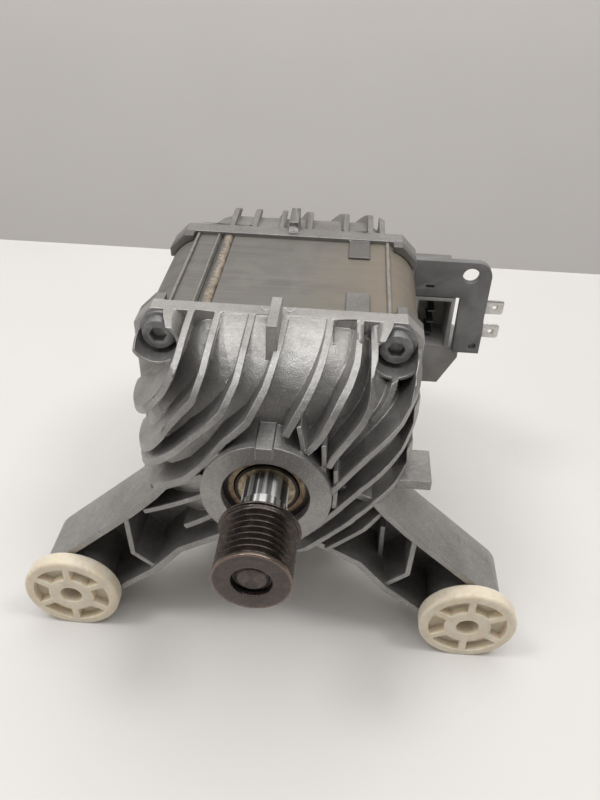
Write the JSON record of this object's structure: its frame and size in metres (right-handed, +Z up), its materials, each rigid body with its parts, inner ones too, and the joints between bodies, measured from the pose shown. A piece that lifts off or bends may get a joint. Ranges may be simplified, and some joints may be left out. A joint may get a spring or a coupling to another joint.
{
  "type": "washing machine motor",
  "caption": "Universal drive motor: laminated stator between finned cast end shields, splayed bushed legs, poly-V belt pulley and side connector.",
  "frame": {"origin": "on the shaft axis in the belt plane, the middle of the pulley's grooved band", "axes": "-Y along the shaft out of the pulley end, +Z up with the legs pointing down, +X toward the connector side"},
  "size_m": [0.1866, 0.1905, 0.1323],
  "materials": {
    "cast_aluminium": "sand-textured die casting with a fine sparkle",
    "laminations": "grey-brown stacked sheet edges, light rust bloom",
    "bearing_steel": "ground and polished, warm tint",
    "shaft_steel": "ground bright steel",
    "pulley_steel": "black-brown oxide with bright worn crests",
    "screw_steel": "black oxide and oil",
    "enamelled_wire": "varnished winding wire",
    "commutator_copper": "turned copper",
    "tube_brass": "drawn brass",
    "spring_steel": "drawn spring wire",
    "tinned_metal": "tin-plated",
    "nylon": "cream to olive translucent nylon",
    "dark_plastic": "moulded, fine grain",
    "moulding_brown": "thermoset moulding",
    "insulation": "moulded insulation",
    "carbon": "pressed carbon",
    "seal_rubber": "bronze-brown seal",
    "ferrite": "sintered magnet"
  },
  "bodies": {
    "stator": {"front_shield": "cast_aluminium", "rear_shield": "cast_aluminium", "stator_core": "laminations", "field_coil_right": "enamelled_wire", "field_coil_left": "enamelled_wire", "sensor_coil": "enamelled_wire", "front_end_insulator": "insulation", "rear_end_insulator": "insulation", "thermal_cutout": "moulding_brown", "clamp_screws": "screw_steel", "bushing_right": "nylon", "bushing_left": "nylon", "brush_yoke": "dark_plastic", "brush_holder_right": "dark_plastic", "brush_holder_left": "dark_plastic", "brush_tube_right": "tube_brass", "brush_tube_left": "tube_brass", "brush_spring_right": "spring_steel", "brush_spring_left": "spring_steel", "preload_washer": "spring_steel", "connector_bracket": "dark_plastic", "connector_housing": "dark_plastic", "housing_pins": "tinned_metal", "terminal_blade_upper": "tinned_metal", "terminal_blade_lower": "tinned_metal", "bracket_screws": "screw_steel", "sensor_cap": "dark_plastic", "front_bearing_outer_ring": "bearing_steel", "front_bearing_seals": "seal_rubber", "rear_bearing_outer_ring": "bearing_steel", "rear_bearing_seals": "seal_rubber"},
    "rotor": {"shaft": "shaft_steel", "pulley": "pulley_steel", "rotor_core": "laminations", "rotor_winding": "enamelled_wire", "commutator_segments": "commutator_copper", "commutator_hub": "moulding_brown", "front_bearing_inner_ring": "bearing_steel", "rear_bearing_inner_ring": "bearing_steel", "sensor_magnet": "ferrite"},
    "front_ball_set": {"front_bearing_cage": "spring_steel", "front_bearing_balls": "bearing_steel"},
    "rear_ball_set": {"rear_bearing_cage": "spring_steel", "rear_bearing_balls": "bearing_steel"},
    "brush_right_slider": {"brush_right": "carbon"},
    "brush_left_slider": {"brush_left": "carbon"}
  },
  "joints": [
    {"name": "rotor_spin", "type": "hinge", "parent": "stator", "child": "rotor", "pos_m": [0, 0, 0], "axis": [0, -1, 0], "continuous": true},
    {"name": "front_ball_set_spin", "type": "hinge", "parent": "stator", "child": "front_ball_set", "pos_m": [0, 0.0336, 0], "axis": [0, -1, 0], "continuous": true},
    {"name": "rear_ball_set_spin", "type": "hinge", "parent": "stator", "child": "rear_ball_set", "pos_m": [0, 0.1633, 0], "axis": [0, -1, 0], "continuous": true},
    {"name": "brush_right_slide", "type": "slide", "parent": "stator", "child": "brush_right_slider", "axis": [1, 0, 0], "range_m": [0, 0.003], "stiffness_N_per_m": 150, "springref_m": -0.004, "deforming": ["brush_spring_right"]},
    {"name": "brush_left_slide", "type": "slide", "parent": "stator", "child": "brush_left_slider", "axis": [-1, 0, 0], "range_m": [0, 0.003], "stiffness_N_per_m": 150, "springref_m": -0.004, "deforming": ["brush_spring_left"]}
  ],
  "couplings": [
    {"joint": "front_ball_set_spin", "follows": "rotor_spin", "ratio": 0.382},
    {"joint": "rear_ball_set_spin", "follows": "rotor_spin", "ratio": 0.3659}
  ]
}
